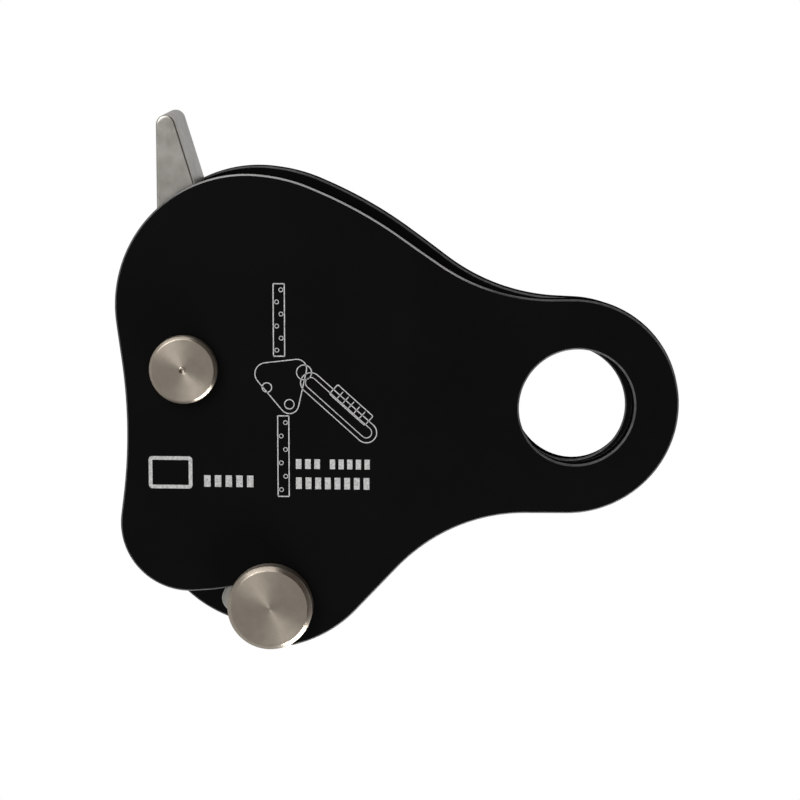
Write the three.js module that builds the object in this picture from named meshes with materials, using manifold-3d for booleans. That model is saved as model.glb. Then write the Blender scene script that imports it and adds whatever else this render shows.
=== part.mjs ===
// Ascender for a single rope: two bent side plates on a common axle, a sprung toothed cam with a
// release lever, a fixed anvil behind the rope, and a headed stud that the front plate hooks onto.
// Millimetres. The origin is on the cam axle at the rear plate's outer face. +Z runs from the rear
// plate to the front plate, +X towards the carabiner eye and +Y up the lever.
import * as THREE from 'three';
import { mergeVertices } from 'three/addons/utils/BufferGeometryUtils.js';
import Module from 'manifold-3d';

const wasm = await Module();
wasm.setup();

// Side plates
const PLATE_T = 2.8;
const PLATE_GAP = 14.1;
const FRONT_Z = PLATE_T + PLATE_GAP;
const STACK = FRONT_Z + PLATE_T;
const BEND_X = 36;
const BEND_ANGLE = THREE.MathUtils.degToRad(9);
const BEND_RADIUS = 12;
const BEND_TILT = THREE.MathUtils.degToRad(3);
const FRONT_PLATE_TURN = THREE.MathUtils.degToRad(0.86);
const EYE_R = 9.4;
const REAR_EYE = { x: 61.8, y: -7.2 };
const FRONT_EYE = { x: 62.75, y: -7.4 };

// Clearances: between pieces that are pressed or riveted together, and between running pieces
const FIT_GAP = 0.3;
const RUN_GAP = 0.15;

// Cam axle
const AXLE_R = 3;
const AXLE_HEAD_R = 5.5;
const AXLE_HEAD_Z = 20.4;
const AXLE_TOP_Z = 22.1;
const BUSH_R = 4;
const FRONT_BUSH_R = 4.2;

// Lock stud, under whose head the front plate hooks
const STUD = { x: 13.75, y: -38.7 };
const STUD_SHANK_R = 3.2;
const STUD_NECK_R = 4.1;
const STUD_HEAD_R = 6.9;
const STUD_HEAD_Z = STACK + FIT_GAP;
const STUD_TOP_Z = 23;

// Cam and lever
const CAM_LOW_Z = 3.2;
const CAM_TOP_Z = 16.2;
const CAM_SWEEP = 56;
const CONTACT_DEG = -26.3;
const CAM_CONTACT_R = 15.4;
const CAM_RISE = 0.6;
const CAM_FIRST_DEG = -40.3;
const CAM_LAST_DEG = 34;
const TOOTH_COUNT = 13;
const TOOTH_HEIGHT = 0.9;
const HUB_R = 8.8;
const SPRING_POCKET_R = 9.4;
const SPRING_POCKET_Z = 4.9;
const SPRING_RECESS_Z = 8.8;
const SPRING_BOSS_R = 4.9;
const SPRING_RECESS_R = 6.7;

// Torsion spring round the axle
const COIL_R = 5.8;
const WIRE_R = 0.45;
const COIL_TURNS = 3.25;
const COIL_PITCH = 1.15;
const COIL_LOW_Z = 3.9;
const COIL_START_DEG = 130;
const SPRING_LEG = 4.8;

// Pins in the rear plate
const STOP_PIN = { radius: 8.7, deg: 215, r: 1.2, top: 9 };
const ANCHOR_PIN = { radius: 8.05, deg: 153.6, r: 0.9, top: 4.6 };

// Anvil: its rope face is a straight line at ANVIL_FACE from the axle, square to the contact line
const ANVIL_FACE = 21.6;
const ANVIL_LOW_Z = PLATE_T + FIT_GAP;
const ANVIL_TOP_Z = 16;
const ANVIL_HEAD_R = 4.2;
const ANVIL_NOSE_R = 2.3;
const ANVIL_STUD_R = 5.4;
const ANVIL_HEAD_ALONG = 16;
const ANVIL_NOSE_ALONG = -31.4;
const ANVIL_MIDDLE_ALONG = -6;
const RIVET_R = 2;
const RIVET_HEAD_R = 3.6;

const ROUND_STEPS = 36;
const CHORD_ERROR = 0.02;
const CONVEX = 1;
const CONCAVE = -1;

// --- helpers -------------------------------------------------------------------------------------

function polar(radius, deg) {
  const angle = THREE.MathUtils.degToRad(deg);
  return new THREE.Vector2(radius * Math.cos(angle), radius * Math.sin(angle));
}

// A point measured along the cam's contact line and along the rope face, seen from the axle.
function ropePoint(away, along) {
  return polar(away, CONTACT_DEG).add(polar(along, CONTACT_DEG + 90));
}

function circle(x, y, r, side = CONVEX) {
  return { x, y, r, side };
}

// The heading of the straight line that leaves circle a and joins circle b without a corner.
function tangentHeading(a, b) {
  const distance = Math.hypot(b.x - a.x, b.y - a.y);
  const turn = (a.side * a.r - b.side * b.r) / distance;
  return Math.atan2(b.y - a.y, b.x - a.x) + Math.asin(turn);
}

// A closed outline, counter-clockwise, of arcs of the given circles joined by their tangents.
function outlineOf(circles) {
  const points = [];
  circles.forEach((c, i) => {
    const before = circles[(i + circles.length - 1) % circles.length];
    const after = circles[(i + 1) % circles.length];
    const arrive = tangentHeading(before, c);
    let sweep = tangentHeading(c, after) - arrive;
    while (sweep * c.side < -1e-6) sweep += c.side * 2 * Math.PI;
    while (sweep * c.side > 2 * Math.PI - 1e-6) sweep -= c.side * 2 * Math.PI;
    const step = 2 * Math.acos(1 - CHORD_ERROR / c.r);
    const count = Math.max(1, Math.ceil(Math.abs(sweep) / step));
    for (let k = 0; k <= count; k += 1) {
      const angle = arrive - (c.side * Math.PI) / 2 + (sweep * k) / count;
      points.push(new THREE.Vector2(c.x + c.r * Math.cos(angle), c.y + c.r * Math.sin(angle)));
    }
  });
  return points.filter((p, i) => p.distanceTo(points[(i + 1) % points.length]) > 0.02);
}

function prism(points, zLow, zHigh) {
  const options = { depth: zHigh - zLow, bevelEnabled: false };
  return new THREE.ExtrudeGeometry(new THREE.Shape(points), options).translate(0, 0, zLow);
}

// A turned piece about a line along Z through the given point, from (radius, height) pairs.
function turned(profile, at = { x: 0, y: 0 }) {
  const points = profile.map(([radius, z]) => new THREE.Vector2(radius, z));
  return new THREE.LatheGeometry(points, ROUND_STEPS).rotateX(Math.PI / 2).translate(at.x, at.y, 0);
}

function ring(inner, outer, zLow, zHigh, at) {
  return turned([[inner, zLow], [outer, zLow], [outer, zHigh], [inner, zHigh], [inner, zLow]], at);
}

function rod(radius, zLow, zHigh, at) {
  return turned([[0, zLow], [radius, zLow], [radius, zHigh], [0, zHigh]], at);
}

function solid(geometry) {
  const bare = geometry.clone();
  bare.deleteAttribute('normal');
  bare.deleteAttribute('uv');
  const merged = mergeVertices(bare, 1e-4);
  const vertProperties = new Float32Array(merged.attributes.position.array);
  const triVerts = new Uint32Array(merged.index.array);
  return new wasm.Manifold(new wasm.Mesh({ numProp: 3, vertProperties, triVerts }));
}

function geometryOf(manifold) {
  const mesh = manifold.getMesh();
  const geometry = new THREE.BufferGeometry();
  geometry.setAttribute('position', new THREE.BufferAttribute(mesh.vertProperties, 3));
  geometry.setIndex(new THREE.BufferAttribute(mesh.triVerts, 1));
  const faceted = geometry.toNonIndexed();
  faceted.computeVertexNormals();
  return faceted;
}

function cut(body, ...tools) {
  return tools.reduce((rest, tool) => rest.subtract(solid(tool)), body);
}

// A countersunk hole from z 0 up, a little larger than the riveted end that fills it.
function countersink(headR, shankR, depth, top, at) {
  const low = headR + FIT_GAP + (headR - shankR) / depth;
  return turned([[0, -1], [low, -1], [shankR + FIT_GAP, depth], [shankR + FIT_GAP, top], [0, top]], at);
}

// --- materials -----------------------------------------------------------------------------------

function anodisedBlack() {
  return new THREE.MeshStandardMaterial({ color: 0x101011, roughness: 0.55, metalness: 0.4 });
}

function turnedSteel() {
  return new THREE.MeshStandardMaterial({ color: 0xa8a49e, roughness: 0.3, metalness: 1 });
}

function castSteel() {
  return new THREE.MeshStandardMaterial({ color: 0x9a958d, roughness: 0.42, metalness: 1 });
}

function bronze() {
  return new THREE.MeshStandardMaterial({ color: 0xa9824c, roughness: 0.4, metalness: 1 });
}

function springSteel() {
  return new THREE.MeshStandardMaterial({ color: 0x8c8d90, roughness: 0.35, metalness: 1 });
}

// --- side plates ---------------------------------------------------------------------------------

// The edge that both plates share, from the foot lobe's far side round the eye and back to it.
const studLobe = circle(12.1, -25.6, 20.65);
const footLobe = circle(0, -25.6, 11.1);
const sharedEdge = [
  circle(53.4, -51.85, 27.3, CONCAVE),
  circle(61.95, -7.35, 17.5),
  circle(60.2, 42, 31.8, CONCAVE),
  circle(-6.3, -36.3, 70.65),
  circle(10.2, 4.15, 26.98),
  circle(10.4, 9.75, 21.4),
  circle(-94.2, -8.45, 84.6, CONCAVE),
];

function rearOutline() {
  return outlineOf([...sharedEdge, footLobe, studLobe]);
}

// The front plate's foot is cut back to an arc about the axle, which ends in a hook round the stud.
function frontOutline() {
  const studRadius = Math.hypot(STUD.x, STUD.y);
  const hookR = STUD_NECK_R + FIT_GAP;
  const hookDeg = THREE.MathUtils.radToDeg(Math.atan2(STUD.y, STUD.x)) + 0.65;
  const hook = polar(studRadius, hookDeg);
  const lipR = 0.8;
  const lip = polar(studLobe.r - lipR + 0.02, -77).add(studLobe);
  return outlineOf([
    ...sharedEdge,
    footLobe,
    circle(0, 0, studRadius - hookR - 0.02),
    circle(hook.x, hook.y, hookR, CONCAVE),
    circle(lip.x, lip.y, lipR),
    studLobe,
  ]);
}

// A slab of plate thickness, flat as far as BEND_X and then turned up by BEND_ANGLE. The front
// plate's slab is the same one seen in the middle plane between the plates.
function bentSlab(isFront) {
  const start = -30;
  const end = 95;
  const centreZ = PLATE_T + BEND_RADIUS;
  const bendPoint = (radius, share) => {
    const angle = BEND_ANGLE * share;
    return [BEND_X + radius * Math.sin(angle), centreZ - radius * Math.cos(angle)];
  };
  const along = (radius, bendSteps) => {
    const points = [[start, centreZ - radius]];
    for (let i = 0; i <= bendSteps; i += 1) points.push(bendPoint(radius, i / bendSteps));
    const [x, z] = points[points.length - 1];
    points.push([end, z + (end - x) * Math.tan(BEND_ANGLE)]);
    return points;
  };
  const section = [...along(BEND_RADIUS + PLATE_T, 5), ...along(BEND_RADIUS, 5).reverse()];
  const points = section.map(([x, z]) => new THREE.Vector2(x, isFront ? STACK - z : z));
  const width = 120;
  const slab = prism(points, -width / 2, width / 2).rotateX(Math.PI / 2);
  return slab.rotateZ(-BEND_TILT);
}

// The connector's eye, bored square to the bent arm through the middle of its thickness.
function eyeBore(isFront) {
  const eye = isFront ? FRONT_EYE : REAR_EYE;
  const middle = BEND_RADIUS + PLATE_T / 2;
  const across = eye.x * Math.cos(BEND_TILT) - eye.y * Math.sin(BEND_TILT);
  const past = across - BEND_X - middle * Math.sin(BEND_ANGLE);
  const z = PLATE_T / 2 + middle * (1 - Math.cos(BEND_ANGLE)) + past * Math.tan(BEND_ANGLE);
  const bore = rod(EYE_R, -PLATE_T, PLATE_T).rotateY(isFront ? BEND_ANGLE : -BEND_ANGLE);
  return bore.rotateZ(-BEND_TILT).translate(eye.x, eye.y, isFront ? STACK - z : z);
}

function bentPlate(outline, isFront) {
  const blank = solid(prism(outline, -5, STACK + 5)).intersect(solid(bentSlab(isFront)));
  return cut(blank, eyeBore(isFront));
}

function rearPlate() {
  const rivetHole = (at) => countersink(RIVET_HEAD_R, RIVET_R, 1.5, 5, at);
  const pinHole = (pin) => rod(pin.r + FIT_GAP, -1, 5, polar(pin.radius, pin.deg));
  return geometryOf(cut(
    bentPlate(rearOutline(), false),
    countersink(5, AXLE_R, 1.6, 5, { x: 0, y: 0 }),
    countersink(5.2, STUD_SHANK_R, 1.8, 5, STUD),
    rivetHole(anvilHead()),
    rivetHole(anvilMiddle()),
    pinHole(STOP_PIN),
    pinHole(ANCHOR_PIN),
  ));
}

function frontPlate() {
  const pivotHole = rod(FRONT_BUSH_R + RUN_GAP, FRONT_Z - 1, STACK + 1);
  return geometryOf(cut(bentPlate(frontOutline(), true), pivotHole));
}

// --- axle, bushes and washers --------------------------------------------------------------------

function camAxle() {
  return turned([
    [0, 0], [5, 0], [AXLE_R, 1.6], [AXLE_R, AXLE_HEAD_Z], [AXLE_HEAD_R, AXLE_HEAD_Z],
    [AXLE_HEAD_R, AXLE_TOP_Z - 0.5], [AXLE_HEAD_R - 0.5, AXLE_TOP_Z], [0.5, AXLE_TOP_Z],
    [0, AXLE_TOP_Z - 0.35],
  ]);
}

function onAxle(outer, zLow, zHigh) {
  return ring(AXLE_R + RUN_GAP, outer, zLow, zHigh);
}

function lockStud() {
  return turned([
    [0, 0], [5.2, 0], [STUD_SHANK_R, 1.8], [STUD_SHANK_R, ANVIL_TOP_Z], [STUD_NECK_R, ANVIL_TOP_Z],
    [STUD_NECK_R, STUD_HEAD_Z], [STUD_HEAD_R, STUD_HEAD_Z], [STUD_HEAD_R, STUD_TOP_Z - 0.7],
    [STUD_HEAD_R - 0.7, STUD_TOP_Z], [0, STUD_TOP_Z],
  ], STUD);
}

function studWasher() {
  return ring(STUD_NECK_R + RUN_GAP, 5.2, ANVIL_TOP_Z + RUN_GAP, FRONT_Z - RUN_GAP, STUD);
}

function pin({ radius, deg, r, top }) {
  return rod(r, 0, top, polar(radius, deg));
}

// --- cam and lever -------------------------------------------------------------------------------

// The cam's toothed face is a logarithmic spiral, so the rope is met at the same slope at any width.
function camRadius(deg) {
  return CAM_CONTACT_R * Math.exp(-CAM_RISE * THREE.MathUtils.degToRad(deg - CONTACT_DEG));
}

function toothedSector() {
  const pitch = (CAM_LAST_DEG - CAM_FIRST_DEG) / TOOTH_COUNT;
  const points = [polar(0, 0), polar(HUB_R - 0.5, -72)];
  for (let i = 0; i < TOOTH_COUNT; i += 1) {
    const tipDeg = CAM_FIRST_DEG + i * pitch;
    const rootDeg = tipDeg + 0.65 * pitch;
    points.push(polar(camRadius(tipDeg), tipDeg));
    points.push(polar(camRadius(tipDeg + 0.12 * pitch), tipDeg + 0.12 * pitch));
    points.push(polar(camRadius(rootDeg) - TOOTH_HEIGHT, rootDeg));
  }
  points.push(polar(camRadius(CAM_LAST_DEG), CAM_LAST_DEG));
  return prism(points, CAM_LOW_Z, CAM_TOP_Z);
}

function hubAndLever() {
  const outline = outlineOf([
    circle(0, 0, HUB_R),
    circle(3.5, 11, 3.5),
    circle(-3.05, 38.8, 1.6),
    circle(-10.65, 12.5, 6, CONCAVE),
  ]);
  return prism(outline, CAM_LOW_Z, CAM_TOP_Z);
}

// The notch in the hub's rim that the stop pin runs in: it ends the cam's swing both ways.
function stopNotch() {
  const margin = THREE.MathUtils.radToDeg((STOP_PIN.r + FIT_GAP) / STOP_PIN.radius);
  const first = STOP_PIN.deg - margin;
  const last = STOP_PIN.deg + CAM_SWEEP + margin;
  const inner = STOP_PIN.radius - STOP_PIN.r - FIT_GAP;
  const steps = 10;
  const points = [];
  for (let i = 0; i <= steps; i += 1) points.push(polar(HUB_R + 3, first + ((last - first) * i) / steps));
  for (let i = steps; i >= 0; i -= 1) points.push(polar(inner, first + ((last - first) * i) / steps));
  return prism(points, CAM_LOW_Z - 1, STOP_PIN.top + FIT_GAP);
}

function springPoint(turns) {
  const at = polar(COIL_R, COIL_START_DEG - turns * 360);
  return new THREE.Vector3(at.x, at.y, COIL_LOW_Z + turns * COIL_PITCH);
}

// The direction in which the clockwise coil runs on at a given turn.
function springHeading(turns) {
  const ahead = polar(1, COIL_START_DEG - turns * 360 - 90);
  return new THREE.Vector3(ahead.x, ahead.y, 0);
}

// The slot in the cam that the spring's upper leg pushes in.
function legSlot() {
  const start = springPoint(COIL_TURNS);
  const heading = springHeading(COIL_TURNS);
  const length = SPRING_LEG + 0.8;
  const slot = new THREE.BoxGeometry(length, 1.6, SPRING_RECESS_Z - CAM_LOW_Z + 1);
  slot.translate(length / 2, 0, (SPRING_RECESS_Z + CAM_LOW_Z - 1) / 2);
  slot.rotateZ(Math.atan2(heading.y, heading.x));
  return slot.translate(start.x, start.y, 0);
}

function camLever() {
  const blank = solid(hubAndLever()).add(solid(toothedSector()));
  return geometryOf(cut(
    blank,
    rod(BUSH_R + RUN_GAP, CAM_LOW_Z - 1, CAM_TOP_Z + 1),
    rod(SPRING_POCKET_R, CAM_LOW_Z - 1, SPRING_POCKET_Z),
    ring(SPRING_BOSS_R, SPRING_RECESS_R, SPRING_POCKET_Z - 1, SPRING_RECESS_Z),
    legSlot(),
    stopNotch(),
  ));
}

function camSpring() {
  const route = [springPoint(0).addScaledVector(springHeading(0), -SPRING_LEG)];
  route.push(springPoint(0).addScaledVector(springHeading(0), -SPRING_LEG / 2));
  const stepsPerTurn = 15;
  for (let i = 0; i <= COIL_TURNS * stepsPerTurn; i += 1) route.push(springPoint(i / stepsPerTurn));
  route.push(springPoint(COIL_TURNS).addScaledVector(springHeading(COIL_TURNS), SPRING_LEG / 2));
  route.push(springPoint(COIL_TURNS).addScaledVector(springHeading(COIL_TURNS), SPRING_LEG));
  const section = new THREE.Shape();
  section.absarc(0, 0, WIRE_R, 0, 2 * Math.PI);
  const extrudePath = new THREE.CatmullRomCurve3(route);
  return new THREE.ExtrudeGeometry(section, { steps: 72, curveSegments: 4, extrudePath });
}

// --- anvil ---------------------------------------------------------------------------------------

function anvilHead() {
  return ropePoint(ANVIL_FACE + ANVIL_HEAD_R, ANVIL_HEAD_ALONG);
}

function anvilMiddle() {
  return ropePoint(ANVIL_FACE + ANVIL_HEAD_R, ANVIL_MIDDLE_ALONG);
}

// A bar with a rounded top, a straight rope face and a rounded nose, which the stud passes through.
function anvil() {
  const head = anvilHead();
  const nose = ropePoint(ANVIL_FACE + ANVIL_NOSE_R, ANVIL_NOSE_ALONG);
  const outline = outlineOf([
    circle(head.x, head.y, ANVIL_HEAD_R),
    circle(nose.x, nose.y, ANVIL_NOSE_R),
    circle(STUD.x, STUD.y, ANVIL_STUD_R),
  ]);
  const hole = RIVET_R + FIT_GAP;
  const flare = RIVET_HEAD_R + FIT_GAP;
  const rivetHole = (at) => turned([
    [0, 0], [hole, 0], [hole, ANVIL_TOP_Z - 1.5], [flare, ANVIL_TOP_Z], [flare, 20], [0, 20],
  ], at);
  return geometryOf(cut(
    solid(prism(outline, ANVIL_LOW_Z, ANVIL_TOP_Z)),
    rod(STUD_SHANK_R + FIT_GAP, 0, 20, STUD),
    rivetHole(anvilHead()),
    rivetHole(anvilMiddle()),
  ));
}

function anvilRivet(at) {
  return turned([
    [0, 0], [RIVET_HEAD_R, 0], [RIVET_R, 1.5], [RIVET_R, ANVIL_TOP_Z - 1.5],
    [RIVET_HEAD_R, ANVIL_TOP_Z], [0, ANVIL_TOP_Z],
  ], at);
}

// --- assembly ------------------------------------------------------------------------------------

const ascender = new THREE.Group();

function place(name, geometry, material) {
  const mesh = new THREE.Mesh(geometry, material);
  mesh.name = name;
  ascender.add(mesh);
  return mesh;
}

const washerLow = CAM_TOP_Z + RUN_GAP;
const washerHigh = FRONT_Z - RUN_GAP;
const bushMiddle = (SPRING_POCKET_Z + CAM_TOP_Z) / 2;

place('rear_plate', rearPlate(), anodisedBlack());
place('front_plate', frontPlate(), anodisedBlack()).rotation.z = FRONT_PLATE_TURN;
place('front_pivot_bush', onAxle(FRONT_BUSH_R, FRONT_Z - 0.05, STACK + 0.05), bronze());
place('cam_axle', camAxle(), turnedSteel());
place('head_washer', onAxle(5.2, STACK + 0.2, AXLE_HEAD_Z - RUN_GAP), springSteel());
place('cam_washer_front', onAxle(6.5, washerLow, washerHigh), springSteel());
place('cam_spacer_rear', onAxle(BUSH_R, PLATE_T + RUN_GAP, SPRING_POCKET_Z - RUN_GAP), springSteel());
place('cam_bush_rear', onAxle(BUSH_R, SPRING_POCKET_Z, bushMiddle - 0.5), bronze());
place('cam_bush_front', onAxle(BUSH_R, bushMiddle + 0.5, CAM_TOP_Z), bronze());
place('cam_lever', camLever(), castSteel());
place('cam_spring', camSpring(), springSteel());
place('spring_anchor_pin', pin(ANCHOR_PIN), turnedSteel());
place('cam_stop_pin', pin(STOP_PIN), turnedSteel());
place('anvil', anvil(), castSteel());
place('anvil_rivet_upper', anvilRivet(anvilHead()), turnedSteel());
place('anvil_rivet_middle', anvilRivet(anvilMiddle()), turnedSteel());
place('lock_stud', lockStud(), turnedSteel());
place('stud_washer', studWasher(), springSteel());

export default ascender;
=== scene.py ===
"""Looks of a cam ascender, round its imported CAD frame. Lengths are millimetres until a mesh is made."""

import math

import bmesh
import bpy
from mathutils import Matrix, Vector

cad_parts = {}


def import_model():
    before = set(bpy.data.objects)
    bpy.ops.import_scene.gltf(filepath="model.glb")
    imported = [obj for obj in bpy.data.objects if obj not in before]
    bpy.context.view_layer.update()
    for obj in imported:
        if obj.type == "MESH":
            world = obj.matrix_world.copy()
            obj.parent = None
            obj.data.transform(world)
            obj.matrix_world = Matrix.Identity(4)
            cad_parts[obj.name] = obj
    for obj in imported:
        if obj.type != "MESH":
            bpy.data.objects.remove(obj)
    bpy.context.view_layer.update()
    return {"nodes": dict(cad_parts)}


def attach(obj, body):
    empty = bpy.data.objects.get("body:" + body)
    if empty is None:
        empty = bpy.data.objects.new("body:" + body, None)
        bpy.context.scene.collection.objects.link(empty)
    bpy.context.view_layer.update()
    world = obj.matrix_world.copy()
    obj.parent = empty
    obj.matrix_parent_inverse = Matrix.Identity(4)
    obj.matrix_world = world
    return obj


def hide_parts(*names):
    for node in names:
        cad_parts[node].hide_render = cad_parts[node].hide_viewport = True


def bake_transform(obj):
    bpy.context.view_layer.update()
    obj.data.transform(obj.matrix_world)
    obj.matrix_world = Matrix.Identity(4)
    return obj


MM = 0.001
CONVEX, CONCAVE = 1, -1
SHARP = math.radians(40)

# Plates: thickness, distance between their outer faces, and the bend towards each other
PLATE_T = 2.8
STACK = 19.7
BEND_X = 36.0
BEND_ANGLE = math.radians(9)
BEND_RADIUS = 12.0
BEND_TILT = math.radians(3)
FRONT_TURN = math.radians(0.86)
REAR_EYE = (61.8, -7.2)
FRONT_EYE = (62.75, -7.4)
EYE_R = 9.4
EYE_ROUND = 0.3
EDGE_ROUND = 0.26

# Cam: its heights, swing, hub and the direction in which it meets the rope
AXLE = (0.0, 0.0)
CAM_LOW, CAM_TOP = 3.2, 16.2
CAM_SWEEP = 56
HUB_R = 8.8
BUSH_R = 4.15
CONTACT_DEG = -26.3
CONTACT_R = 15.4
FIT_GAP = 0.3

# Pins in the rear plate: where they stand, as (radius, degrees) about the axle, and the stop pin's size
STOP_PIN_AT = (8.7, 215)
STOP_PIN_R = 1.2
STOP_PIN_TOP = 9
ANCHOR_PIN_AT = (8.05, 153.6)

# Spring: coil radius, number of turns and direction of the first one
COIL_R = 5.8
COIL_TURNS = 3.25
COIL_START = 130

# Room for the spring in the cam: a wide pocket, and above it a ring round the boss
SPRING_POCKET_R = 9.4
SPRING_POCKET_TOP = 4.9
SPRING_RING_LOW, SPRING_RING_TOP = 4, 8.8
SPRING_BOSS_R, SPRING_RING_R = 4.9, 6.7

# Anvil: its heights, the rope face's distance from the axle, half its thickness, and its fixings
ANVIL_LOW, ANVIL_TOP = 3.1, 16.0
ANVIL_FACE = 21.6
ANVIL_HALF = 4.2
RIVETS_ALONG = (16, -6)
STUD = (13.75, -38.7)

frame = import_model()


# --- outlines ------------------------------------------------------------------------------------


def polar(radius, deg, centre=(0.0, 0.0)):
    angle = math.radians(deg)
    return centre[0] + radius * math.cos(angle), centre[1] + radius * math.sin(angle)


def rope_point(away, along):
    """A point measured along the cam's contact line and along the anvil's rope face."""
    return polar(along, CONTACT_DEG + 90, polar(away, CONTACT_DEG))


def circle(x, y, r, side=CONVEX):
    return x, y, r, side


def heading(a, b):
    """The heading of the line that leaves circle a and joins circle b without a corner."""
    dx, dy = b[0] - a[0], b[1] - a[1]
    return math.atan2(dy, dx) + math.asin((a[3] * a[2] - b[3] * b[2]) / math.hypot(dx, dy))


def outline(circles, step=0.6):
    """A closed counter-clockwise outline of the circles' arcs, joined by their tangents."""
    points = []
    for i, (x, y, r, side) in enumerate(circles):
        arrive = heading(circles[i - 1], circles[i])
        sweep = heading(circles[i], circles[(i + 1) % len(circles)]) - arrive
        while sweep * side < -1e-6:
            sweep += side * math.tau
        while sweep * side > math.tau - 1e-6:
            sweep -= side * math.tau
        count = max(2, math.ceil(abs(sweep) * max(r / step, 6)))
        for k in range(count + 1):
            angle = arrive - side * math.pi / 2 + sweep * k / count
            points.append((x + r * math.cos(angle), y + r * math.sin(angle)))
    return [p for i, p in enumerate(points) if math.dist(p, points[i - 1]) > 0.02]


def inset(points, by, finer=0):
    """The same closed outline moved inwards, point for point: the first finer points by a quarter as much."""
    moved = []
    for i, (x, y) in enumerate(points):
        before, after = points[i - 1], points[(i + 1) % len(points)]
        a = Vector((x - before[0], y - before[1])).normalized()
        b = Vector((after[0] - x, after[1] - y)).normalized()
        normal = Vector((-a.y - b.y, a.x + b.x)).normalized()
        reach = (by / 4 if i < finer else by) / max(0.5, normal.dot(Vector((-a.y, a.x))))
        moved.append((x + normal.x * reach, y + normal.y * reach))
    return moved


def soften(profile, radius):
    """A profile with every inner corner replaced by a small round."""
    soft = [profile[0]]
    for before, corner, after in zip(profile, profile[1:], profile[2:]):
        p, a, b = Vector(corner), Vector(before), Vector(after)
        reach = min(radius, 0.45 * (a - p).length, 0.45 * (b - p).length)
        start = p + (a - p).normalized() * reach
        end = p + (b - p).normalized() * reach
        for share in (0, 0.25, 0.5, 0.75, 1):
            soft.append(tuple(start.lerp(p, share).lerp(p.lerp(end, share), share)))
    return soft + [profile[-1]]


def rounded_hole(radius, low, high, fillet, steps=4):
    """A hole's profile, (radius, z) from below to above, with both of its rims rounded."""
    lower = []
    for k in range(steps + 1):
        angle = math.pi / 2 * k / steps
        lower.append((radius + fillet * (1 - math.sin(angle)), fillet * (1 - math.cos(angle))))
    return [(r, low + z) for r, z in lower] + [(r, high - z) for r, z in reversed(lower)]


# --- meshes --------------------------------------------------------------------------------------


def mark_sharp(bm):
    for edge in bm.edges:
        edge.smooth = len(edge.link_faces) == 2 and edge.calc_face_angle(0) < SHARP


def add_object(name, bm, centre=(0.0, 0.0)):
    """Makes an object of a mesh in millimetres whose own origin is at centre."""
    bmesh.ops.recalc_face_normals(bm, faces=bm.faces)
    bmesh.ops.scale(bm, vec=(MM, MM, MM), verts=bm.verts)
    mark_sharp(bm)
    for face in bm.faces:
        face.smooth = True
    mesh = bpy.data.meshes.new(name)
    bm.to_mesh(mesh)
    bm.free()
    obj = bpy.data.objects.new(name, mesh)
    obj.location = (centre[0] * MM, centre[1] * MM, 0)
    bpy.context.scene.collection.objects.link(obj)
    obj.modifiers.new("normals", "WEIGHTED_NORMAL").keep_sharp = True
    return obj


def stack_loops(bm, loops, around=True):
    """Joins loops of equally many points with quads and returns the loops' vertices."""
    rows = [[bm.verts.new(point) for point in loop] for loop in loops]
    for low, high in zip(rows, rows[1:]):
        for k in range(len(low) if around else len(low) - 1):
            n = (k + 1) % len(low)
            bm.faces.new((low[k], low[n], high[n], high[k]))
    return rows


def rounded_prism(points, low, high, fillet, holes=(), steps=4, finer=0):
    """A closed slab: faces, rounded edges and walls take one material each. holes are (centre, profile)."""
    bm = bmesh.new()
    rim = rounded_hole(0, low, high, fillet, steps)
    loops = [[(x, y, z) for x, y in inset(points, depth, finer)] for depth, z in rim]
    rows = [stack_loops(bm, loops)]
    for centre, profile in holes:
        count = max(32, int(profile[0][0] * 14))
        ring = [360 * k / count for k in range(count)]
        loops = [[(*polar(r, -deg, centre), z) for deg in ring] for r, z in profile]
        rows.append(stack_loops(bm, loops))
    walls = set(bm.faces)
    for end in (0, -1):
        edges = []
        for row in rows:
            loop = row[end]
            edges += [bm.edges.get((v, loop[(k + 1) % len(loop)])) for k, v in enumerate(loop)]
        bmesh.ops.triangle_fill(bm, edges=edges, use_beauty=True)
    bm.normal_update()
    for face in walls:
        face.material_index = 1 if abs(face.normal.z) > 0.1 else 2
    return bm


def lathe(profile, steps=96):
    """A turned piece about the upright axis. Its profile, (radius, z), starts and ends on the axis."""
    bm = bmesh.new()
    angles = [math.tau * k / steps for k in range(steps)]
    loops = [[(r * math.cos(a), r * math.sin(a), z) for a in angles] for r, z in profile[1:-1]]
    rows = stack_loops(bm, loops)
    for row, (_, z) in ((rows[0], profile[0]), (rows[-1], profile[-1])):
        tip = bm.verts.new((0, 0, z))
        for k, vert in enumerate(row):
            bm.faces.new((vert, row[(k + 1) % steps], tip))
    return bm


def plug(radius, low, high, steps):
    """A plain upright cylinder about the axle, for cutting a bore."""
    return lathe([(0, low), (radius, low), (radius, high), (0, high)], steps)


def sweep(route, radius, sides=14):
    """A round wire along a route, closed at both ends."""
    bm = bmesh.new()
    loops = []
    for i, point in enumerate(route):
        along = (route[min(i + 1, len(route) - 1)] - route[max(i - 1, 0)]).normalized()
        side = along.cross(Vector((0, 0, 1))).normalized()
        up = side.cross(along)
        scale = 0.8 if i in (0, len(route) - 1) else 1
        ring = [math.tau * k / sides for k in range(sides)]
        loops.append([point + (side * math.cos(a) + up * math.sin(a)) * radius * scale for a in ring])
    rows = stack_loops(bm, loops)
    bm.faces.new(rows[0][::-1])
    bm.faces.new(rows[-1])
    return bm


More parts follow.
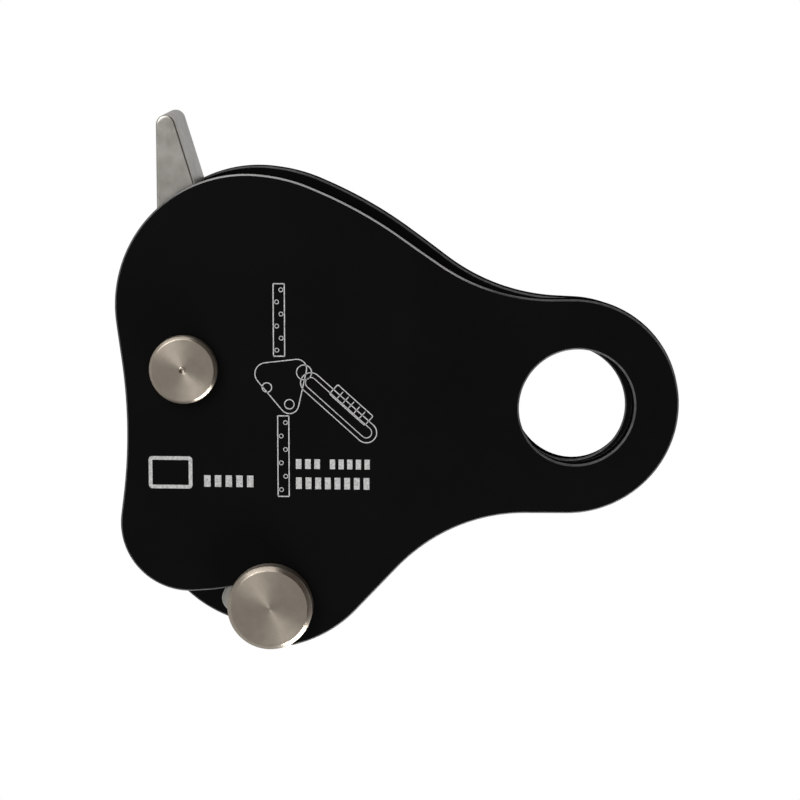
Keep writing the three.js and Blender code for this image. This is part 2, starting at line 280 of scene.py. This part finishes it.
def cut_with(obj, cutters):
    """Takes closed shapes out of a piece, and leaves the result as its plain mesh."""
    obj.modifiers.clear()
    for cutter in cutters:
        modifier = obj.modifiers.new("cut", "BOOLEAN")
        modifier.operation = "DIFFERENCE"
        modifier.solver = "EXACT"
        modifier.object = cutter
    depsgraph = bpy.context.evaluated_depsgraph_get()
    result = bpy.data.meshes.new_from_object(obj.evaluated_get(depsgraph))
    obj.modifiers.clear()
    obj.data = result
    for cutter in cutters:
        bpy.data.objects.remove(cutter)
    bm = bmesh.new()
    bm.from_mesh(result)
    mark_sharp(bm)
    bm.to_mesh(result)
    bm.free()
    obj.modifiers.new("normals", "WEIGHTED_NORMAL").keep_sharp = True
    return obj


# --- materials -----------------------------------------------------------------------------------


def add_node(tree, kind, links=(), **values):
    """A new node with its settings, the values of its inputs and the links into its other inputs."""
    made = tree.nodes.new(kind)
    for key, value in values.items():
        if hasattr(made, key):
            setattr(made, key, value)
        else:
            made.inputs[key.replace("_", " ")].default_value = value
    for socket, source in dict(links).items():
        tree.links.new(source, made.inputs[socket])
    return made


def add_range(tree, source, start, end, low, high):
    made = add_node(tree, "ShaderNodeMapRange", {"Value": source})
    for socket, value in zip(made.inputs[1:5], (start, end, low, high)):
        socket.default_value = value
    return made.outputs[0]


def add_ramp(tree, source, stops):
    made = add_node(tree, "ShaderNodeValToRGB", {"Fac": source})
    for element, (at, colour) in zip(made.color_ramp.elements, stops):
        element.position = at
        element.color = (*colour, 1)
    return made.outputs["Color"]


class Look:
    """A Principled material with short calls for the procedural nodes that feed it."""

    def __init__(self, name, metallic=0.0, roughness=0.5, specular=0.5, anisotropic=0.0):
        self.material = bpy.data.materials.new(name)
        self.material.use_nodes = True
        self.tree = self.material.node_tree
        self.shader = self.tree.nodes["Principled BSDF"]
        self.shader.inputs["Metallic"].default_value = metallic
        self.shader.inputs["Roughness"].default_value = roughness
        self.shader.inputs["Specular IOR Level"].default_value = specular
        self.shader.inputs["Anisotropic"].default_value = anisotropic
        self.shader.inputs["Anisotropic Rotation"].default_value = 0.25
        self.place = self.tree.nodes.new("ShaderNodeTexCoord").outputs["Object"]

    def node(self, kind, links=(), **values):
        return add_node(self.tree, kind, links, **values)

    def feed(self, socket, source):
        self.tree.links.new(source, self.shader.inputs[socket])

    def noise(self, scale, detail=3.0, stretch=(1, 1, 1)):
        mapping = self.node("ShaderNodeMapping", {"Vector": self.place}, Scale=stretch)
        made = self.node("ShaderNodeTexNoise", {"Vector": mapping.outputs[0]}, Scale=scale, Detail=detail)
        return made.outputs["Fac"]

    def rings(self, scale, distortion=0.6):
        links = {"Vector": self.place}
        made = self.node("ShaderNodeTexWave", links, Scale=scale, Distortion=distortion, Detail=3.0)
        made.wave_type = "RINGS"
        made.rings_direction = "Z"
        return made.outputs["Fac"]

    def between(self, source, low, high, start=0.3, end=0.7):
        """Maps a 0 to 1 pattern to a range of numbers or, for tuples, of colours."""
        if isinstance(low, tuple):
            return add_ramp(self.tree, source, ((start, low), (end, high)))
        return add_range(self.tree, source, start, end, low, high)

    def bump(self, layers):
        """layers are (pattern, strength, height in mm), from the coarsest to the finest."""
        normal = None
        for source, strength, height in layers:
            links = {"Height": source}
            if normal:
                links["Normal"] = normal
            made = self.node("ShaderNodeBump", links, Strength=strength, Distance=height * MM)
            normal = made.outputs["Normal"]
        self.feed("Normal", normal)

    def turned_tangent(self):
        made = self.node("ShaderNodeTangent", direction_type="RADIAL", axis="Z")
        self.feed("Tangent", made.outputs[0])


def anodised(name, specular):
    look = Look(name, roughness=0.5, specular=specular)
    cloud = look.noise(60, 4)
    grain = look.noise(2600, 2)
    look.feed("Base Color", look.between(cloud, (0.0022, 0.0023, 0.0025), (0.0034, 0.0033, 0.0031)))
    look.feed("Roughness", look.between(grain, 0.42, 0.58))
    look.bump([(cloud, 0.05, 0.2), (grain, 0.18, 0.03)])
    return look.material


def anodised_edge_painted_highlight():
    """The plates' rounded edges: a lighter grey than the faces as a painted highlight, and paler still on a
    stretch of the front plate's upper edge as a second painted highlight.
    """
    look = Look("anodised_edge_painted_highlight", roughness=0.38, specular=0.3)
    wear = look.noise(900, 5)
    # Painted highlight: a pale patch on the front plate's upper edge. It is full within 28 mm of a point
    # above the plate and gone at 35 mm.
    painted_highlight_reach = look.node("ShaderNodeVectorMath", {0: look.place}, operation="DISTANCE")
    painted_highlight_reach.inputs[1].default_value = (26 * MM, 26 * MM, 2 * STACK * MM)
    painted_highlight_mask = look.between(painted_highlight_reach.outputs["Value"], 1.0, 0.0, 0.028, 0.035)
    # Painted highlight: the whole edge is a lighter grey than the faces' near-black, with random tone in it.
    plain = look.between(wear, (0.06, 0.06, 0.061), (0.11, 0.11, 0.108))
    edge_colour_with_painted_highlight = look.node("ShaderNodeMixRGB", {0: painted_highlight_mask, 1: plain})
    edge_colour_with_painted_highlight.inputs[2].default_value = (0.38, 0.38, 0.375, 1)
    look.feed("Base Color", edge_colour_with_painted_highlight.outputs[0])
    look.feed("Roughness", look.between(wear, 0.34, 0.45))
    look.bump([(wear, 0.12, 0.03)])
    return look.material


def turned_steel():
    look = Look("turned_steel", metallic=1, roughness=0.3, anisotropic=0.8)
    rings = look.rings(1900, 1.5)
    cloud = look.noise(700, 4)
    look.feed("Base Color", look.between(cloud, (0.43, 0.378, 0.318), (0.48, 0.422, 0.355)))
    look.feed("Roughness", look.between(rings, 0.3, 0.36))
    look.bump([(cloud, 0.05, 0.01), (rings, 0.05, 0.004)])
    look.turned_tangent()
    return look.material


def cast_steel():
    look = Look("cast_steel", metallic=1, roughness=0.31)
    cloud = look.noise(420, 5)
    grain = look.noise(2200, 3)
    brushed = look.noise(900, 3, (3, 0.5, 1))
    look.feed("Base Color", look.between(cloud, (0.42, 0.4, 0.37), (0.56, 0.54, 0.505)))
    look.feed("Roughness", look.between(brushed, 0.27, 0.35))
    look.bump([(cloud, 0.04, 0.05), (brushed, 0.03, 0.01), (grain, 0.1, 0.01)])
    return look.material


def spring_steel():
    look = Look("spring_steel", metallic=1, roughness=0.25)
    grain = look.noise(1500, 3)
    look.feed("Base Color", look.between(grain, (0.38, 0.38, 0.39), (0.55, 0.55, 0.56)))
    look.feed("Roughness", look.between(grain, 0.2, 0.35))
    look.bump([(grain, 0.08, 0.01)])
    return look.material


def bronze():
    look = Look("bronze", metallic=1, roughness=0.35)
    grain = look.noise(1800, 3)
    look.feed("Base Color", look.between(grain, (0.5, 0.33, 0.15), (0.66, 0.47, 0.24)))
    look.feed("Roughness", look.between(grain, 0.28, 0.42))
    look.bump([(grain, 0.1, 0.01)])
    return look.material


def etched_mark():
    look = Look("etched_mark", roughness=0.65, specular=0.3)
    grain = look.noise(3000, 2)
    look.feed("Base Color", look.between(grain, (0.4, 0.4, 0.4), (0.7, 0.7, 0.69)))
    look.bump([(grain, 0.1, 0.01)])
    return look.material


FACE = anodised("anodised_face", 0.05)
# The plates' edges carry a painted highlight in their colour.
PAINTED_HIGHLIGHT_EDGE = anodised_edge_painted_highlight()
WALL = anodised("anodised_wall", 0)
TURNED = turned_steel()
CAST = cast_steel()
SPRING = spring_steel()
BRONZE = bronze()
MARK = etched_mark()


def dress(obj, body, materials, nodes=()):
    """Gives a new piece its materials, its body and the CAD nodes it stands for."""
    for material in materials:
        obj.data.materials.append(material)
    if len(materials) == 1:
        for face in obj.data.polygons:
            face.material_index = 0
    if body:
        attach(obj, body)
    if nodes:
        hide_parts(*nodes)
    return obj


# --- side plates ---------------------------------------------------------------------------------

RIVETS = [rope_point(ANVIL_FACE + ANVIL_HALF, along) for along in RIVETS_ALONG]
STUD_LOBE = circle(12.1, -25.6, 20.65)
FOOT_LOBE = circle(0, -25.6, 11.1)
SHARED_EDGE = [
    circle(53.4, -51.85, 27.3, CONCAVE),
    circle(61.95, -7.35, 17.5),
    circle(60.2, 42, 31.8, CONCAVE),
    circle(-6.3, -36.3, 70.65),
    circle(10.2, 4.15, 26.98),
    circle(10.4, 9.75, 21.4),
    circle(-94.2, -8.45, 84.6, CONCAVE),
]


def front_edge():
    """The shared edge, cut back at the foot to an arc about the axle that ends in the stud's hook."""
    reach = math.hypot(*STUD)
    hook_r = 4.4
    hook = polar(reach, math.degrees(math.atan2(STUD[1], STUD[0])) + 0.65)
    lip_r = 0.8
    lip = polar(STUD_LOBE[2] - lip_r + 0.02, -77, STUD_LOBE[:2])
    arc = circle(0, 0, reach - hook_r - 0.02)
    return [*SHARED_EDGE, FOOT_LOBE, arc, circle(*hook, hook_r, CONCAVE), circle(*lip, lip_r), STUD_LOBE]


def bent_height(across, radius):
    """The height of a bent surface over a distance across the bend line."""
    centre = PLATE_T + BEND_RADIUS
    past = across - BEND_X
    arc = radius * math.sin(BEND_ANGLE)
    if past <= 0:
        return centre - radius
    if past <= arc:
        return centre - math.sqrt(radius * radius - past * past)
    return centre - radius * math.cos(BEND_ANGLE) + (past - arc) * math.tan(BEND_ANGLE)


def bend(bm, eye):
    """Cuts a flat plate along its bend and lifts it from there, with the eye square to the bent arm."""
    across = Vector((math.cos(BEND_TILT), -math.sin(BEND_TILT), 0))
    eye = Vector((*eye, 0))
    for vert in bm.verts:
        away = Vector((vert.co.x, vert.co.y, 0)) - eye
        if away.length < EYE_R + EYE_ROUND + 0.1:
            narrower = away.dot(across) * (1 - math.cos(BEND_ANGLE))
            vert.co -= across * (narrower + (vert.co.z - PLATE_T / 2) * math.sin(BEND_ANGLE))
    cuts = 8
    for k in range(cuts + 1):
        at = across * (BEND_X + (BEND_RADIUS + PLATE_T) * math.sin(BEND_ANGLE) * k / cuts)
        geometry = [*bm.verts, *bm.edges, *bm.faces]
        bmesh.ops.bisect_plane(bm, geom=geometry, dist=1e-4, plane_co=at, plane_no=across)
    for vert in bm.verts:
        share = vert.co.z / PLATE_T
        distance = vert.co.dot(across)
        outer = bent_height(distance, BEND_RADIUS + PLATE_T)
        inner = bent_height(distance, BEND_RADIUS)
        vert.co.z = outer + (inner - outer) * share


def plate_mesh(edge, eye, holes):
    eye_profile = rounded_hole(EYE_R, 0, PLATE_T, EYE_ROUND, 6)
    bm = rounded_prism(outline(edge), 0, PLATE_T, EDGE_ROUND, [(eye, eye_profile), *holes])
    bend(bm, eye)
    return bm


def rivet_seat(shank, head, depth):
    return [(head, 0), (shank, depth), (shank, PLATE_T)]


def rear_plate():
    holes = [(AXLE, rivet_seat(3, 5, 1.6)), (STUD, rivet_seat(3.2, 5.2, 1.8))]
    holes += [(rivet, rivet_seat(2, 3.6, 1.5)) for rivet in RIVETS]
    for pin, radius in ((STOP_PIN_AT, 1.5), (ANCHOR_PIN_AT, 1.2)):
        holes.append((polar(*pin), [(radius, 0), (radius, PLATE_T)]))
    edge = [*SHARED_EDGE, FOOT_LOBE, STUD_LOBE]
    obj = add_object("rear_plate_finished", plate_mesh(edge, REAR_EYE, holes))
    return dress(obj, "frame", [FACE, PAINTED_HIGHLIGHT_EDGE, WALL], ["rear_plate"])


def front_plate():
    bm = plate_mesh(front_edge(), FRONT_EYE, [(AXLE, [(4.35, 0), (4.35, PLATE_T)])])
    for vert in bm.verts:
        vert.co.z = STACK - vert.co.z
    bmesh.ops.rotate(bm, cent=(0, 0, 0), matrix=Matrix.Rotation(FRONT_TURN, 3, "Z"), verts=bm.verts)
    obj = add_object("front_plate_finished", bm)
    return dress(obj, "side_plate", [FACE, PAINTED_HIGHLIGHT_EDGE, WALL], ["front_plate"])


# --- marks on the front plate --------------------------------------------------------------------

MARK_Z = STACK + 0.01
MARK_T = 0.02
LINE = 0.16


def flat_bar(bm, start, end, width):
    """A thin straight bar with square ends, lying on the front plate."""
    a, b = Vector((*start, 0)), Vector((*end, 0))
    side = (b - a).normalized().cross(Vector((0, 0, 1))) * width / 2
    corners = [a - side, b - side, b + side, a + side]
    low, high = (
        [bm.verts.new(corner + Vector((0, 0, z))) for corner in corners] for z in (MARK_Z, MARK_Z + MARK_T)
    )
    bm.faces.new(low[::-1])
    bm.faces.new(high)
    for k in range(4):
        n = (k + 1) % 4
        bm.faces.new((low[k], low[n], high[n], high[k]))


def flat_band(bm, points, width):
    """A thin closed line of even width along an outline, lying on the front plate."""
    inner = inset(points, width)
    loops = [
        [(x, y, MARK_Z) for x, y in points],
        [(x, y, MARK_Z + MARK_T) for x, y in points],
        [(x, y, MARK_Z + MARK_T) for x, y in inner],
        [(x, y, MARK_Z) for x, y in inner],
    ]
    rows = stack_loops(bm, loops)
    for k in range(len(points)):
        n = (k + 1) % len(points)
        bm.faces.new((rows[3][k], rows[3][n], rows[0][n], rows[0][k]))


def flat_dots(bm, centres, radius, width):
    for centre in centres:
        flat_band(bm, [polar(radius, deg, centre) for deg in range(0, 360, 15)], width)


def rope_marks(bm, x, low, high):
    """A strip of rope: two side lines, closed ends and a row of small open dots."""
    half = 0.9
    line = 0.18
    for side in (-half, half):
        flat_bar(bm, (x + side, low), (x + side, high), line)
    for end in (low, high):
        flat_bar(bm, (x - half, end), (x + half, end), line)
    count = int((high - low) / 1.9)
    for k in range(count):
        y = low + (high - low) * (k + 0.5) / count
        flat_dots(bm, [(x + (0.35 if k % 2 else -0.35), y)], 0.38, 0.12)


def blocks(bm, left, right, middle, height, count):
    """A row of equal plain blocks, where the object carries writing that isn't copied."""
    pitch = (right - left) / count
    for k in range(count):
        x = left + pitch * k
        flat_bar(bm, (x, middle), (x + pitch * 0.6, middle), height)


def connector_marks(bm):
    """A plain oval link with a ribbed sleeve, hanging from the marked body."""
    top, bottom = Vector((20.4, -2.2)), Vector((29.3, -10.2))
    along = (bottom - top).normalized()
    out = Vector((-along.y, along.x))
    link = outline([circle(*top, 1.75), circle(*bottom, 1.75)])
    flat_band(bm, link, LINE)
    flat_band(bm, inset(link, 0.8), 0.14)
    corners = ((0.3, 0.9), (0.9, 0.9), (0.9, 2.5), (0.3, 2.5))
    sleeve = [top.lerp(bottom, share) + out * side for share, side in corners]
    flat_band(bm, outline([circle(*corner, 0.3) for corner in sleeve]), LINE)
    for share in (0.4, 0.5, 0.6, 0.7, 0.8):
        middle = top.lerp(bottom, share)
        flat_bar(bm, middle + out * 1.0, middle + out * 2.4, LINE)
    flat_dots(bm, [(19.3, -0.5)], 1.3, LINE)


def front_marks():
    bm = bmesh.new()
    rope_marks(bm, 15.3, 2.1, 13.8)
    rope_marks(bm, 15.9, -20.8, -7.6)
    body = outline([circle(13.2, -0.8, 1.9), circle(16.9, -5.7, 1.6), circle(18.2, 0.1, 1.6)])
    flat_band(bm, body, LINE)
    flat_dots(bm, [(13.3, -3.0), (16.9, -5.7)], 0.85, LINE)
    connector_marks(bm)
    corners = [(-5.4, -19.1), (0.5, -19.1), (0.5, -15.0), (-5.4, -15.0)]
    flat_band(bm, outline([circle(*corner, 0.6) for corner in corners]), 0.6)
    blocks(bm, 3, 11.7, -18.4, 1.9, 5)
    blocks(bm, 17.9, 22.4, -15.45, 1.6, 3)
    blocks(bm, 23.4, 30.4, -15.45, 1.6, 5)
    blocks(bm, 17.9, 30.4, -18.6, 1.9, 8)
    obj = add_object("front_plate_marks", bm)
    return dress(obj, "side_plate", [MARK])


# --- turned pieces -------------------------------------------------------------------------------


def cam_axle():
    profile = [
        (0, 0), (4.95, 0), (2.98, 1.6), (3, 1.7), (3, 20.4), (5.5, 20.4), (5.5, 21.6),
        (5.02, 22.1), (0.55, 22.1), (0.35, 21.8), (0, 21.75),
    ]
    obj = add_object("cam_axle_finished", lathe(soften(profile, 0.12)), AXLE)
    return dress(obj, "frame", [TURNED], ["cam_axle"])


def lock_stud():
    profile = [
        (0, 0), (5.15, 0), (3.2, 1.8), (3.2, 16), (4.1, 16), (4.1, 20), (6.9, 20), (6.9, 22.3),
        (6.2, 22.97), (0.7, 22.97), (0.35, 23), (0, 23),
    ]
    obj = add_object("lock_stud_finished", lathe(soften(profile, 0.12)), STUD)
    return dress(obj, "frame", [TURNED], ["lock_stud"])


# --- cam and lever -------------------------------------------------------------------------------


def cam_radius(deg):
    return CONTACT_R * math.exp(-0.6 * math.radians(deg - CONTACT_DEG))


def teeth(first=-40.3, last=34, count=13, height=0.9):
    """The toothed rope face as (angle, radius) corners: a narrow flat tip, a slope and a root."""
    pitch = (last - first) / count
    corners = []
    for k in range(count):
        for share, depth in ((0, 0), (0.12, 0), (0.62, height), (0.68, height)):
            deg = first + (k + share) * pitch
            corners.append((deg, cam_radius(deg) - depth))
    return corners


def cam_outline():
    """The hub and lever outline with the teeth on it, and how many of its points are the teeth's."""
    tip, hollow = circle(-3.05, 38.8, 1.6), circle(-10.65, 12.5, 6, CONCAVE)
    smooth = outline([circle(0, 0, HUB_R), circle(3.5, 11, 3.5), tip, hollow], 0.8)
    foot = polar(HUB_R, -72)
    start = min(range(len(smooth)), key=lambda i: math.dist(smooth[i], foot))
    ordered = smooth[start:] + smooth[:start]
    toothed = [foot] + [polar(r, deg) for deg, r in teeth() if deg < 16]
    last = math.degrees(math.atan2(toothed[-1][1], toothed[-1][0]))
    rest = []
    passed = False
    for x, y in ordered:
        deg = math.degrees(math.atan2(y, x))
        passed = passed or (deg > last + 1 and y > 0)
        if passed:
            rest.append((x, y))
    return toothed + rest, len(toothed)


def stop_notch():
    """The notch in the hub's rim that the stop pin runs in."""
    margin = math.degrees((STOP_PIN_R + FIT_GAP) / STOP_PIN_AT[0])
    first, last = STOP_PIN_AT[1] - margin, STOP_PIN_AT[1] + CAM_SWEEP + margin
    angles = [first + (last - first) * k / 15 for k in range(16)]
    inner = STOP_PIN_AT[0] - STOP_PIN_R - FIT_GAP
    notch = [polar(14, deg) for deg in angles] + [polar(inner, deg) for deg in reversed(angles)]
    return rounded_prism(notch, 2, STOP_PIN_TOP + FIT_GAP, 0.01, steps=1)


def spring_slot():
    """The slot that the spring's upper leg lies in."""
    coil_end = COIL_START - COIL_TURNS * 360
    start = Vector((*polar(COIL_R, coil_end), 0))
    ahead = Vector((*polar(1, coil_end - 90), 0))
    side = ahead.cross(Vector((0, 0, 1))) * 0.8
    end = start + ahead * 5.6
    corners = [tuple(corner.xy) for corner in (start - side, start + side, end + side, end - side)]
    return rounded_prism(corners, SPRING_RING_LOW, SPRING_RING_TOP, 0.01, steps=1)


def spring_ring():
    """The ring-shaped recess that the spring's coil turns in."""
    low, high = SPRING_RING_LOW, SPRING_RING_TOP
    rim = [polar(SPRING_RING_R, k * 5) for k in range(72)]
    boss = [(SPRING_BOSS_R, low), (SPRING_BOSS_R, high)]
    return rounded_prism(rim, low, high, 0.01, [(AXLE, boss)], 1)


def cam_lever():
    edge, toothed = cam_outline()
    obj = add_object("cam_lever_finished", rounded_prism(edge, CAM_LOW, CAM_TOP, 0.4, finer=toothed))
    bore = plug(BUSH_R, 2, 17, 64)
    pocket = plug(SPRING_POCKET_R, 2, SPRING_POCKET_TOP, 96)
    shapes = [bore, pocket, stop_notch(), spring_slot(), spring_ring()]
    cut_with(obj, [add_object("cutter", bm) for bm in shapes])
    return dress(obj, "cam", [CAST], ["cam_lever"])


def cam_spring():
    """A coil whose lower leg stays with the rear plate while the upper one turns with the cam."""
    pitch, low, leg, wire_r = 1.15, 3.9, 4.8, 0.45

    def at(turn):
        return Vector((*polar(COIL_R, COIL_START - 360 * turn), low + pitch * turn))

    def ahead(turn):
        return Vector((*polar(1, COIL_START - 90 - 360 * turn), 0))

    steps = 144
    route = [at(0) - ahead(0) * leg * share for share in (1, 0.97, 0.7, 0.4, 0.15)]
    route += [at(COIL_TURNS * k / steps) for k in range(steps + 1)]
    route += [at(COIL_TURNS) + ahead(COIL_TURNS) * leg * share for share in (0.15, 0.4, 0.7, 0.97, 1)]
    obj = add_object("cam_spring_finished", sweep(route, wire_r))
    dress(obj, None, [SPRING], ["cam_spring"])
    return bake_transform(obj)


# --- anvil ---------------------------------------------------------------------------------------


def anvil():
    nose_r = 2.3
    nose = rope_point(ANVIL_FACE + nose_r, -31.4)
    edge = outline([circle(*RIVETS[0], ANVIL_HALF), circle(*nose, nose_r), circle(*STUD, 5.4)])
    seat = [(2.3, ANVIL_LOW), (2.3, 14.5), (3.8, ANVIL_TOP)]
    holes = [(rivet, seat) for rivet in RIVETS]
    holes.append((STUD, [(3.5, ANVIL_LOW), (3.5, ANVIL_TOP)]))
    obj = add_object("anvil_finished", rounded_prism(edge, ANVIL_LOW, ANVIL_TOP, 0.5, holes))
    return dress(obj, "frame", [CAST], ["anvil"])


# --- pieces whose CAD shape stays ----------------------------------------------------------------


def finish_cad(node, material):
    """Gives a CAD piece a real finish. Its facets and sharp edges stay as they are."""
    obj = frame["nodes"][node]
    obj.data.materials.clear()
    obj.data.materials.append(material)


CAD_FINISHES = {
    "front_pivot_bush": BRONZE, "cam_bush_rear": BRONZE, "cam_bush_front": BRONZE,
    "head_washer": SPRING, "cam_washer_front": SPRING, "cam_spacer_rear": SPRING, "stud_washer": SPRING,
    "spring_anchor_pin": TURNED, "cam_stop_pin": TURNED,
    "anvil_rivet_upper": TURNED, "anvil_rivet_middle": TURNED,
}


# --- stage ---------------------------------------------------------------------------------------


def camera():
    data = bpy.data.cameras.new("camera")
    data.lens = 135
    data.sensor_width = 36
    obj = bpy.data.objects.new("camera", data)
    bpy.context.scene.collection.objects.link(obj)
    back = Vector((0.057, 0.163, 0.985)).normalized()
    right = Vector((back.z, 0, -back.x)).normalized()
    up = back.cross(right)
    at = Vector((34.79, -4.65, 20.86)) + back * 480
    axes = Matrix((right, up, back)).transposed().to_4x4()
    obj.matrix_world = Matrix.Translation(at * MM) @ axes
    bpy.context.scene.camera = obj


def area_light(name, at, size, power, colour=(1, 1, 1), target=(30, -5, 10)):
    data = bpy.data.lights.new(name, "AREA")
    data.shape = "SQUARE"
    data.size = size * MM
    data.energy = power
    data.color = colour
    obj = bpy.data.objects.new(name, data)
    bpy.context.scene.collection.objects.link(obj)
    obj.location = Vector(at) * MM
    aim = (Vector(target) - Vector(at)).normalized()
    obj.rotation_mode = "QUATERNION"
    obj.rotation_quaternion = aim.to_track_quat("-Z", "Y")
    obj.visible_camera = False


def show_white_to_camera(tree, lit, seen, output):
    """The camera sees one shader, and everything else is lit by the other."""
    path = tree.nodes.new("ShaderNodeLightPath").outputs["Is Camera Ray"]
    mix = add_node(tree, "ShaderNodeMixShader", {0: path, 1: lit.outputs[0], 2: seen.outputs[0]})
    tree.links.new(mix.outputs[0], output.inputs["Surface"])
    return mix


def world():
    """White to the eye. As light: grey overhead and to the left, dark and brown to the upper right."""
    made = bpy.data.worlds.new("studio")
    made.use_nodes = True
    tree = made.node_tree
    seen = tree.nodes["Background"]
    seen.inputs["Color"].default_value = (1, 1, 1, 1)
    direction = tree.nodes.new("ShaderNodeTexCoord").outputs["Generated"]
    corner = add_node(tree, "ShaderNodeVectorMath", {0: direction}, operation="DOT_PRODUCT")
    corner.inputs[1].default_value = (*polar(0.5, 45), 0)
    shift = add_node(tree, "ShaderNodeMath", {0: corner.outputs["Value"]})
    shift.inputs[1].default_value = 0.5
    walls = add_ramp(tree, shift.outputs[0], ((0.3, (0.42, 0.42, 0.41)), (0.66, (0.03, 0.019, 0.012))))
    split = add_node(tree, "ShaderNodeSeparateXYZ", {0: direction})
    height = add_ramp(tree, split.outputs["Z"], ((0.8, (0, 0, 0)), (0.98, (1, 1, 1))))
    blend = add_node(tree, "ShaderNodeMixRGB", {"Fac": height, "Color1": walls})
    blend.inputs["Color2"].default_value = (0.47, 0.465, 0.455, 1)
    lit = add_node(tree, "ShaderNodeBackground", {"Color": blend.outputs["Color"]})
    show_white_to_camera(tree, lit, seen, tree.nodes["World Output"])
    bpy.context.scene.world = made


def floor_material():
    """White to the eye from above and clear from below. As light, dimmer under the object, as a painted
    shadow.
    """
    material = bpy.data.materials.new("floor")
    material.use_nodes = True
    tree = material.node_tree
    tree.nodes.remove(tree.nodes["Principled BSDF"])
    output = tree.nodes["Material Output"]
    place = tree.nodes.new("ShaderNodeTexCoord").outputs["Object"]
    away = add_node(tree, "ShaderNodeVectorMath", {0: place}, operation="LENGTH")
    # Painted shadow: the floor's light is at half strength within 50 mm of the axle and full from 250 mm out.
    strength = add_range(tree, away.outputs["Value"], 0.05, 0.25, 0.5, 1)
    lit = add_node(tree, "ShaderNodeEmission", {"Strength": strength})
    seen = add_node(tree, "ShaderNodeEmission", Color=(1, 1, 1, 1))
    pale = show_white_to_camera(tree, lit, seen, output)
    below = tree.nodes.new("ShaderNodeNewGeometry").outputs["Backfacing"]
    clear = tree.nodes.new("ShaderNodeBsdfTransparent").outputs[0]
    mix = add_node(tree, "ShaderNodeMixShader", {0: below, 1: pale.outputs[0], 2: clear})
    tree.links.new(mix.outputs[0], output.inputs["Surface"])
    return material


def floor():
    bm = bmesh.new()
    bmesh.ops.create_grid(bm, x_segments=4, y_segments=4, size=1500)
    bmesh.ops.translate(bm, verts=bm.verts, vec=(30, 0, -0.1))
    obj = add_object("floor", bm)
    if obj.data.polygons[0].normal.z < 0:
        obj.data.flip_normals()
    obj.data.materials.append(floor_material())


rear_plate()
front_plate()
front_marks()
cam_axle()
lock_stud()
cam_lever()
cam_spring()
anvil()
for node_name, finish in CAD_FINISHES.items():
    finish_cad(node_name, finish)

camera()
world()
floor()
area_light("key", (-150, 420, 330), 560, 1.5)
area_light("low_right", (215, -385, 60), 270, 3)
area_light("left", (-215, 215, 400), 280, 0.75)
bpy.context.scene.view_settings.view_transform = "Standard"
